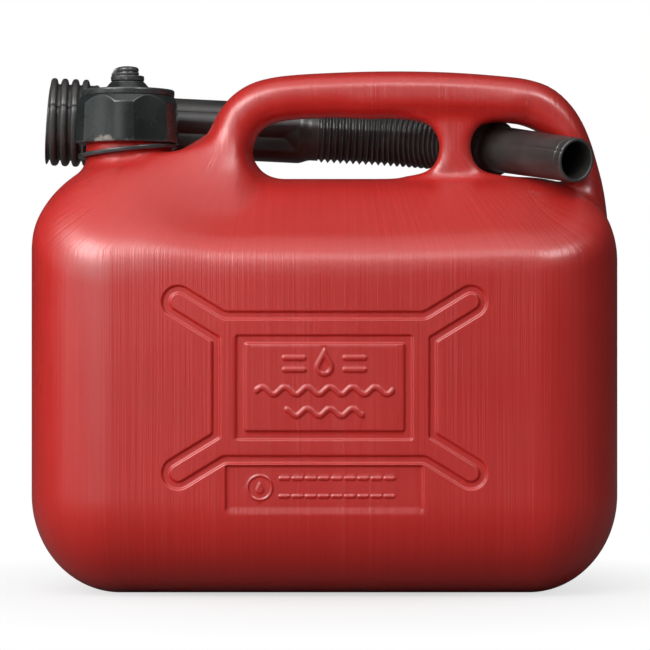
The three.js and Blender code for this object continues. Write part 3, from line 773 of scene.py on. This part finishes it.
OUTLET_ROOT = [
    (213.8, 11.6), (213.95, 12.1), (214.3, 12.9), (214.8, 13.25), (216.6, 13.3), (216.85, 13.2),
    (217.0, 12.85), (217.5, 12.8), (217.7, 13.1), (217.9, 13.25), (219.6, 13.25),
    (219.85, 13.15), (220.0, 12.75), (220.5, 12.7), (220.7, 13.05), (220.9, 13.2),
    (222.2, 13.15), (222.7, 12.95), (223.1, 12.4), (223.4, 11.8), (223.8, 11.25),
    (224.4, 10.95), (225.4, 10.75), (227, 10.65),
]
OUTLET_INSIDE_ROOT = [
    (230, 8.9), (225, 9.0), (222, 10.4), (218, 10.4), (214, 10.4), (213.8, 10.6),
]
# distance back from the spout's end, radius
OUTLET_LIP = [
    (4.6, 10.1), (4.35, 10.08), (4.2, 9.86), (4.0, 9.86), (3.85, 10.08), (3.5, 10.1),
    (2, 10.05), (0.8, 10.0), (0.35, 9.9), (0.1, 9.7), (0, 9.4),
]
OUTLET_MOUTH = [(0, 8.95), (0.1, 8.7), (0.4, 8.52), (1.5, 8.5), (6, 8.5), (20, 8.6)]


def spout_at(along):
    """Point of the centre line, and the direction there to the inside of the bend."""
    if along <= BEND_FROM:
        return SPOUT_START + FIRST_WAY * along, np.cross(BEND_AXIS, FIRST_WAY)
    if along >= BEND_TO:
        point = SPOUT_CORNER + SECOND_WAY * (REACH + along - BEND_TO)
        return point, np.cross(BEND_AXIS, SECOND_WAY)
    turned = (along - BEND_FROM) / SPOUT_BEND_R
    way = FIRST_WAY * math.cos(turned) + np.cross(BEND_AXIS, FIRST_WAY) * math.sin(turned)
    side = np.cross(BEND_AXIS, way)
    return BEND_CENTRE - side * SPOUT_BEND_R, side


def spout_rows(rows, count):
    """Rings around the centre line; a radius may be an array over the angle."""
    angle = circle(count)
    out = []
    for along, radius in rows:
        point, side = spout_at(float(along))
        radius = np.broadcast_to(np.asarray(radius, float), angle.shape)
        ring = np.cos(angle)[:, None] * side + np.sin(angle)[:, None] * BEND_AXIS
        lean = 0.0245 * (1 - ramp(along, 18, 27))     # the collar leans on the tube
        leaning = (lean * radius * np.sin(angle))[:, None] * FIRST_WAY
        out.append(point + radius[:, None] * ring - leaning)
    return out


def angle_off(angle, line):
    """Angle from the nearer of a line along the spout and the line opposite it."""
    return np.abs((angle - line + math.pi / 2) % math.pi - math.pi / 2)


def parting(angle, radius, depth, width):
    """Fine moulding line on both sides of the spout."""
    return -depth * np.exp(-(angle_off(angle, PARTING) * radius / width) ** 2)


def collar_outside(angle, along):
    turn = (along - 3.0) / PITCH - angle / (2 * math.pi)
    off = np.abs(turn - np.round(turn)) * 2 * 1.36
    crest = np.sqrt(np.clip(1 - off ** 2.8, 0, 1))
    ribbed = (1 - ramp(along, 17.4, 20.4)) * (0.35 + 0.65 * ramp(along, -1.0, 0.6))
    core, outer = 18.0, 20.75
    line = parting(angle, 20.5, depth=0.75 * ribbed, width=0.5)
    return core + (outer - core) * ribbed * crest + line


def tube_outside(angle, along):
    wedge = 3.1 * (1 - angle_off(angle, CHANNEL) / math.radians(26.5))
    start = (along - 29.5) * 0.5
    end = (118.5 - along) * 0.42
    channel = np.maximum(soft_min(soft_min(wedge, end, 0.5), start, 0.5), 0)
    blend = 0.25
    channel = soft_max(channel, 0.0, blend) - blend / 4     # softens the channel's rim
    crease = 0.7 * np.exp(-(angle_off(angle, CREASE) / math.radians(5.5)) ** 2)
    crease = crease * ramp(along, 30, 36) * (1 - ramp(along, 104, 110))
    return 14.0 - channel - crease - 1.6 * ramp(along, 118.5, 125)


def spout_tube():
    """Ribbed collar and the tube that leaves it, hollow."""
    count = 216
    angle = circle(count)
    rows = [(0.0, collar_outside(angle, 0.0) - 0.7), (0.08, collar_outside(angle, 0.08) - 0.3)]
    rows += [(s, collar_outside(angle, s)) for s in np.arange(0.25, 21.0, 0.27)]
    rows += COLLAR_END
    stations = np.r_[28.0, np.arange(29.0, 38.0, 0.6), np.arange(39.0, 100.0, 4.0),
                     np.arange(101.0, 128.0, 0.6), 128.35]
    rows += [(s, tube_outside(angle, s)) for s in stations]
    inner = [(0.08, collar_outside(angle, 0.08) - 1.2)]
    inner += [(s, collar_outside(angle, s) - 1.45) for s in np.arange(0.4, 20.2, 0.5)]
    inner += COLLAR_INSIDE_END
    stations = np.r_[26.0, np.arange(29.0, 38.0, 1.5), np.arange(40.0, 100.0, 8.0),
                     np.arange(101.0, 128.0, 1.5), 128.35]
    inner += [(s, tube_outside(angle, s) - TUBE_WALL) for s in stations]
    return make("spout_collar_tube", *skin(spout_rows(rows + inner[::-1], count)))


def spout_bellows():
    count = 112
    angle = circle(count)
    pitch = (BELLOWS_TO - BELLOWS_FROM) / BELLOWS_WAVES
    start, end = BELLOWS_FROM - BELLOWS_LAP, BELLOWS_TO + BELLOWS_LAP
    rows = [(start, 11.9)]
    for i in range(BELLOWS_WAVES):
        for place_in, height in BELLOWS_WAVE:
            radius = BELLOWS_LOW_R + (BELLOWS_HIGH_R - BELLOWS_LOW_R) * height
            line = parting(angle, 13.0, depth=0.35 * height, width=0.4)
            rows.append((BELLOWS_FROM + (i + place_in) * pitch, radius + line))
    rows.append((end, 11.9))
    inner = [(s, 10.4) for s in np.linspace(start, end, 60)]
    return make("spout_bellows_skin", *skin(spout_rows(rows + inner[::-1], count)))


def spout_outlet():
    count = 176
    end = SPOUT_LENGTH
    root_end, root_r = OUTLET_ROOT[-1]
    lip_back, lip_r = OUTLET_LIP[0]
    fall = (root_r - lip_r) / (end - lip_back - root_end)
    profile = OUTLET_ROOT + [(s, root_r - fall * (s - root_end))
                             for s in np.arange(229, end - 4.8, 3.0)]
    profile += [(end - back, radius) for back, radius in OUTLET_LIP]
    angle = circle(count)
    rows = [(s, radius + parting(angle, radius, depth=0.34, width=0.48)) for s, radius in profile]
    inner = [(end - back, radius) for back, radius in OUTLET_MOUTH] + OUTLET_INSIDE_ROOT
    return make("spout_outlet", *skin(spout_rows(rows + inner, count)))


# ------------------------------------------------------------------ materials


def empty_tree(block):
    block.use_nodes = True
    block.node_tree.nodes.clear()
    return block.node_tree


def add_node(tree, kind, inputs=None, **settings):
    """A node with those settings; inputs maps sockets to values or to outputs to link."""
    node = tree.nodes.new(kind)
    for key, value in settings.items():
        setattr(node, key, value)
    for key, value in (inputs or {}).items():
        if isinstance(value, bpy.types.NodeSocket):
            tree.links.new(value, node.inputs[key])
        else:
            node.inputs[key].default_value = value
    return node


class Graph:
    """A principled material's nodes, with sockets or plain numbers as inputs."""

    def __init__(self, name):
        self.material = bpy.data.materials.new(name)
        self.tree = empty_tree(self.material)
        self.where = self.add("ShaderNodeTexCoord").outputs["Object"]

    def add(self, kind, inputs=None, **settings):
        return add_node(self.tree, kind, inputs, **settings)

    def axes(self):
        return self.add("ShaderNodeSeparateXYZ", {0: self.where}).outputs

    def math(self, operation, first, second=0.0):
        return self.add("ShaderNodeMath", {0: first, 1: second}, operation=operation).outputs[0]

    def vector(self, x, y, z):
        return self.add("ShaderNodeCombineXYZ", {0: x, 1: y, 2: z}).outputs[0]

    def noise(self, vector, scale, detail=2.0, rough=0.5):
        inputs = {"Vector": vector, "Scale": scale, "Detail": detail, "Roughness": rough}
        return self.add("ShaderNodeTexNoise", inputs).outputs[0]

    def remap(self, value, source, target=(0.0, 1.0), kind="LINEAR"):
        inputs = {0: value, 1: source[0], 2: source[1], 3: target[0], 4: target[1]}
        node = self.add("ShaderNodeMapRange", inputs, clamp=True, interpolation_type=kind)
        return node.outputs[0]

    def mix(self, factor, first, second):
        inputs = {0: factor, 6: first, 7: second}
        return self.add("ShaderNodeMix", inputs, data_type="RGBA").outputs[2]

    def bump(self, height, distance, normal=None):
        inputs = {"Strength": 1.0, "Distance": distance, "Height": height}
        if normal is not None:
            inputs["Normal"] = normal
        return self.add("ShaderNodeBump", inputs).outputs[0]

    def finish(self, **inputs):
        inputs = {key.replace("_", " "): value for key, value in inputs.items()}
        surface = self.add("ShaderNodeBsdfPrincipled", inputs).outputs[0]
        self.add("ShaderNodeOutputMaterial", {0: surface})
        return self.material


# die lines fan out upwards from an apex: its height, where the fan starts and ends below it
FAN_APEX, FAN_START, FAN_END = 0.2502, 0.0968, 0.051
FAN_LEFT_X, FAN_RIGHT_X = -0.024, 0.010     # the fan spreads outside these
FAN_RIGHT_SHARE = 0.7


def die_line_coordinate(g, x, y, z):
    """Distance around the tank's outline, drawn together where the lines fan out."""
    corner_x, corner_y = STRAIGHT_X * MM, STRAIGHT_Y * MM
    below = g.math("MAXIMUM", g.math("SUBTRACT", FAN_APEX, z), FAN_END)
    fan = g.math("MAXIMUM", g.math("DIVIDE", FAN_START, below), 1.0)
    fan = g.math("SUBTRACT", fan, 1.0)
    left = g.math("MINIMUM", g.math("ADD", x, -FAN_LEFT_X), 0.0)
    right = g.math("MAXIMUM", g.math("SUBTRACT", x, FAN_RIGHT_X), 0.0)
    right = g.math("MULTIPLY", right, FAN_RIGHT_SHARE)
    past = g.math("MAXIMUM", g.math("SUBTRACT", g.math("ABSOLUTE", x), corner_x), 0.0)
    depth = g.math("MAXIMUM", g.math("SUBTRACT", g.math("ABSOLUTE", y), corner_y), 0.0001)
    turned = g.math("MULTIPLY", g.math("ARCTAN2", past, depth), CORNER_R * MM)
    inward = g.math("MAXIMUM", g.math("SUBTRACT", corner_y, g.math("ABSOLUTE", y)), 0.0)
    inward = g.math("MULTIPLY", inward, g.remap(past, source=(0.010, 0.030)))
    straight = g.math("MINIMUM", g.math("ABSOLUTE", x), corner_x)
    around = g.math("ADD", g.math("ADD", straight, turned), inward)
    around = g.math("MULTIPLY", g.math("SIGN", x), around)
    return g.math("ADD", around, g.math("MULTIPLY", fan, g.math("ADD", left, right)))


def red_hdpe():
    """Fine die lines drawn down the walls and fanned out over the shoulders."""
    g = Graph("red_hdpe")
    x, y, z = g.axes()
    along = die_line_coordinate(g, x, y, z)
    side = g.math("MULTIPLY", g.math("SIGN", y), 37.0)      # front and back get other lines

    def stretched(height_scale):
        across = g.math("MULTIPLY", along, 1000.0)
        return g.vector(across, side, g.math("MULTIPLY", z, height_scale))

    lines = g.noise(stretched(9.0), scale=0.80, detail=3.0, rough=0.65)
    broad = g.noise(stretched(5.0), scale=0.14)
    patch = g.noise(g.where, scale=26.0)
    amount = g.remap(patch, source=(0.35, 0.65), target=(0.6, 1.0))
    streak = g.math("MULTIPLY", g.math("SUBTRACT", lines, 0.5), amount)
    swell = g.math("MULTIPLY", g.math("SUBTRACT", broad, 0.5), 0.6)
    normal = g.bump(g.math("ADD", streak, swell), distance=0.00021)
    normal = g.bump(g.noise(g.where, scale=2600.0), distance=0.000008, normal=normal)
    # raised seam where the front and back halves meet
    seam = g.remap(g.math("ABSOLUTE", y), (0.00015, 0.0006), (1.0, 0.0), kind="SMOOTHSTEP")
    normal = g.bump(seam, distance=0.00018, normal=normal)
    tint = g.remap(g.noise(g.where, scale=14.0, detail=3.0, rough=0.55), source=(0.3, 0.7))
    colour = g.mix(tint, (0.54, 0.0130, 0.0085, 1), (0.60, 0.0155, 0.0110, 1))
    pale = g.remap(lines, source=(0.50, 0.75), target=(0.0, 0.22))
    colour = g.mix(pale, colour, (0.68, 0.055, 0.046, 1))
    cloud = g.noise(g.where, scale=40.0, detail=3.0, rough=0.6)
    rough = g.math("ADD", g.remap(cloud, source=(0.3, 0.7), target=(0.40, 0.47)),
                   g.math("MULTIPLY", g.math("SUBTRACT", lines, 0.5), 0.12))
    return g.finish(Base_Color=colour, Roughness=rough, Normal=normal, IOR=1.5,
                    Coat_Weight=0.55, Coat_Roughness=0.28, Coat_Normal=normal)


def scuff_mask(g, x, y, z, middle, half):
    """Ragged ellipse in x and z, on the front only."""
    wobble = g.math("SUBTRACT", g.noise(g.where, scale=420.0, detail=3.0, rough=0.7), 0.5)
    out_x = g.math("DIVIDE", g.math("SUBTRACT", x, middle[0]), half[0])
    out_z = g.math("DIVIDE", g.math("SUBTRACT", z, middle[1]), half[1])
    reach = g.math("ADD", g.math("MULTIPLY", out_x, out_x), g.math("MULTIPLY", out_z, out_z))
    reach = g.math("ADD", g.math("SQRT", reach), g.math("MULTIPLY", wobble, 1.6))
    mask = g.math("MULTIPLY", g.remap(reach, source=(0.75, 1.05), target=(1.0, 0.0)),
                  g.remap(y, source=(-0.018, -0.012), target=(1.0, 0.0)))
    speckle = g.noise(g.where, scale=900.0, rough=0.6)
    return g.math("MULTIPLY", mask, g.remap(speckle, source=(0.35, 0.6), target=(0.4, 0.85)))


def black_plastic(name, base, rough, grain_scale, grain_depth, scuff=None):
    """Moulded black plastic: faint flow marks, grain, dust, and pale edges that are partly wear and
    partly a painted highlight.
    """
    g = Graph(name)
    x, y, z = g.axes()
    stretched = [g.math("MULTIPLY", axis, scale) for axis, scale in ((x, 1.0), (y, 1.0), (z, 0.35))]
    flow = g.noise(g.vector(*stretched), scale=130.0, detail=3.0, rough=0.55)
    cloud = g.noise(g.where, scale=60.0, detail=4.0, rough=0.6)
    grain = g.noise(g.where, scale=grain_scale)
    dust = g.remap(g.noise(g.where, scale=900.0, rough=0.7), (0.70, 0.80), (0.0, 0.20))
    lighter = tuple(channel * 1.9 for channel in base[:3]) + (1,)
    colour = g.mix(g.remap(cloud, source=(0.35, 0.7)), base, lighter)
    colour = g.mix(dust, colour, (0.12, 0.12, 0.12, 1))
    # sharp edges turned paler: partly wear, partly a painted highlight where the edges catch the
    # light
    pointiness = g.add("ShaderNodeNewGeometry").outputs["Pointiness"]
    wear_and_edge_highlight = g.remap(pointiness, source=(0.515, 0.57), target=(0.0, 0.7))
    colour = g.mix(wear_and_edge_highlight, colour, (0.16, 0.16, 0.16, 1))
    if scuff is not None:
        colour = g.mix(scuff_mask(g, x, y, z, **scuff), colour, (0.33, 0.30, 0.26, 1))
    mottle = g.math("ADD", g.math("MULTIPLY", flow, 0.5), g.math("MULTIPLY", cloud, 0.5))
    roughness = g.remap(mottle, source=(0.3, 0.7), target=rough)
    normal = g.bump(flow, distance=0.00012)
    normal = g.bump(grain, distance=grain_depth, normal=normal)
    return g.finish(Base_Color=colour, Roughness=roughness, Normal=normal, IOR=1.5)


def rubber():
    g = Graph("seal_rubber")
    cloud = g.noise(g.where, scale=240.0, detail=3.0, rough=0.6)
    colour = g.mix(cloud, (0.012, 0.012, 0.012, 1), (0.03, 0.03, 0.028, 1))
    rough = g.remap(cloud, source=(0.3, 0.7), target=(0.75, 0.9))
    normal = g.bump(g.noise(g.where, scale=2000.0), distance=0.00002)
    return g.finish(Base_Color=colour, Roughness=rough, Normal=normal)


RED = red_hdpe()
CAP = black_plastic("cap_plastic", base=(0.015, 0.018, 0.018, 1), rough=(0.22, 0.33),
                    grain_scale=1500.0, grain_depth=0.00002,
                    scuff={"middle": (-0.1000, 0.2042), "half": (0.0050, 0.0024)})
TETHER = black_plastic("tether_plastic", base=(0.026, 0.026, 0.026, 1), rough=(0.18, 0.28),
                       grain_scale=1500.0, grain_depth=0.00001)
SPOUT = black_plastic("spout_plastic", base=(0.031, 0.0295, 0.0285, 1), rough=(0.27, 0.39),
                      grain_scale=1300.0, grain_depth=0.000015)
RUBBER = rubber()

# ------------------------------------------------------------------ assembly


def place(obj, material, slot, body, *nodes):
    """Gives obj its material, hides the nodes it stands for and attaches it to the body it rides
    on; slot is not used.
    """
    obj.data.materials.append(material)
    if nodes:
        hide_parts(*nodes)
    if body is not None:
        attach(obj, body)
    return obj


place(can_shell(), RED, "can_red", "can", "can_body")
place(neck_finish(), RED, "can_red", "can")
place(cap_body(), CAP, "cap_black", "cap", "cap_shell")
place(cap_fin(), CAP, "cap_black", "cap")
place(tether_ring(), TETHER, "tether_black", "can", "cap_tether_ring")
place(tether_eyelet(), TETHER, "tether_black", "tether_eyelet", "cap_tether_eyelet")
strap = place(tether_strap(), TETHER, "tether_black", None, "cap_tether_strap")
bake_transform(strap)
place(spout_tube(), SPOUT, "spout_black", "spout_base", "spout_base")
bellows = place(spout_bellows(), SPOUT, "spout_black", None, "spout_bellows")
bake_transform(bellows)
place(spout_outlet(), SPOUT, "spout_black", "spout_tip", "spout_tip")
for seal_name in ("cap_gasket", "spout_washer"):
    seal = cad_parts[seal_name]
    if not seal.material_slots:
        seal.data.materials.append(None)
    for seal_slot in seal.material_slots:
        seal_slot.link = "OBJECT"
        seal_slot.material = RUBBER

# ------------------------------------------------------------------ floor, light and camera

FLOOR_R, FLOOR_Z = 7.0, -0.0002
WHITE = (1, 1, 1, 1)
LIGHT_AIM = Vector((0, 0, 0.12))

# azimuth (0 in front of the can, + to its right), elevation, distance, width, height, power,
# and whether the light is only for sheen or only for matte light
LIGHTS = [
    ("front_box", -10, 50, 1.7, 1.1, 0.42, 3.9, None),
    ("front_matte", -10, 50, 1.7, 1.1, 0.42, 4.8, "matte"),
    ("band_box", 0, 62, 1.5, 1.6, 0.9, 3.4, "sheen"),
    ("top_box", 0, 88, 1.5, 1.2, 0.8, 2.8, None),
    ("left_box", -44, 42, 1.6, 0.90, 0.62, 27, "sheen"),
    ("left_side", -66, 14, 1.7, 0.7, 1.0, 3.4, None),
    ("front_fill", -24, 12, 2.0, 1.0, 1.0, 4.6, None),
    ("near_left", -38, 21, 0.80, 0.5, 0.5, 3.4, "matte"),
    ("back_fill", 168, 12, 2.0, 1.2, 0.8, 8.0, "matte"),
    ("right_fill", 62, 6, 2.0, 1.0, 1.0, 2.6, "matte"),
    ("right_box", 38, 45, 1.7, 0.42, 0.38, 12, "sheen"),
]


def mix_shaders(tree, factor, first, second):
    inputs = {0: factor, 1: first, 2: second}
    return add_node(tree, "ShaderNodeMixShader", inputs).outputs[0]


def floor_material():
    """Pale and fading to white for the camera; darker for the light it throws back."""
    material = bpy.data.materials.new("pale_floor")
    tree = empty_tree(material)

    def diffuse(grey):
        return add_node(tree, "ShaderNodeBsdfDiffuse", {0: (grey, grey, grey, 1)}).outputs[0]

    far = add_node(tree, "ShaderNodeEmission", {0: WHITE}).outputs[0]
    where = add_node(tree, "ShaderNodeTexCoord").outputs["Object"]
    away = add_node(tree, "ShaderNodeVectorMath", operation="LENGTH")
    tree.links.new(where, away.inputs[0])
    fade = add_node(tree, "ShaderNodeMapRange", {
        "Value": away.outputs["Value"],
        "From Min": 0.06, "From Max": 0.22,     # distance from the can's middle
        "To Min": 0.60}).outputs[0]
    seen = mix_shaders(tree, fade, diffuse(0.92), far)
    path = add_node(tree, "ShaderNodeLightPath")
    surface = mix_shaders(tree, path.outputs["Is Camera Ray"], diffuse(0.18), seen)
    add_node(tree, "ShaderNodeOutputMaterial", {0: surface})
    return material


def floor():
    mesh = bpy.data.meshes.new("floor")
    ring = [(FLOOR_R * math.cos(turn), FLOOR_R * math.sin(turn), FLOOR_Z)
            for turn in np.linspace(0, 2 * math.pi, 64, endpoint=False)]
    mesh.from_pydata(ring, [], [tuple(range(64))])
    obj = bpy.data.objects.new("floor", mesh)
    bpy.context.scene.collection.objects.link(obj)
    mesh.materials.append(floor_material())


def studio_world():
    """White for the camera, with a dim fill that is dimmer still in reflections."""
    world = bpy.data.worlds.new("studio")
    bpy.context.scene.world = world
    tree = empty_tree(world)

    def background(strength):
        return add_node(tree, "ShaderNodeBackground", {0: WHITE, 1: strength}).outputs[0]

    path = add_node(tree, "ShaderNodeLightPath").outputs
    unseen = mix_shaders(tree, path["Is Glossy Ray"], background(0.15), background(0.03))
    surface = mix_shaders(tree, path["Is Camera Ray"], unseen, background(1.0))
    add_node(tree, "ShaderNodeOutputWorld", {0: surface})


def softbox(name, azimuth, elevation, distance, width, height, power, only):
    """Area light turned to the can."""
    turn, rise = math.radians(azimuth), math.radians(elevation)
    way = Vector((math.sin(turn) * math.cos(rise), -math.cos(turn) * math.cos(rise),
                  math.sin(rise)))
    data = bpy.data.lights.new(name, "AREA")
    data.shape = "RECTANGLE"
    data.size, data.size_y = width, height
    data.energy = power
    obj = bpy.data.objects.new(name, data)
    where = LIGHT_AIM + distance * way
    obj.location = where
    obj.rotation_euler = (LIGHT_AIM - where).to_track_quat("-Z", "Y").to_euler()
    obj.visible_diffuse = only != "sheen"
    obj.visible_glossy = only != "matte"
    bpy.context.scene.collection.objects.link(obj)


def front_camera():
    scene = bpy.context.scene
    camera = bpy.data.cameras.new("camera")
    camera.sensor_width = 36
    field_of_view = math.radians(13.12)
    camera.lens = camera.sensor_width / (2 * math.tan(field_of_view / 2))
    camera.clip_start = 0.05
    camera.clip_end = 50
    obj = bpy.data.objects.new("camera", camera)
    obj.location = (0.00023, -1.3, 0.1228 - BASE * MM)
    obj.rotation_euler = (math.pi / 2, 0, 0)
    scene.collection.objects.link(obj)
    scene.camera = obj
    scene.view_settings.view_transform = "Standard"
    scene.view_settings.look = "None"


floor()
studio_world()
for light in LIGHTS:
    softbox(*light)
front_camera()
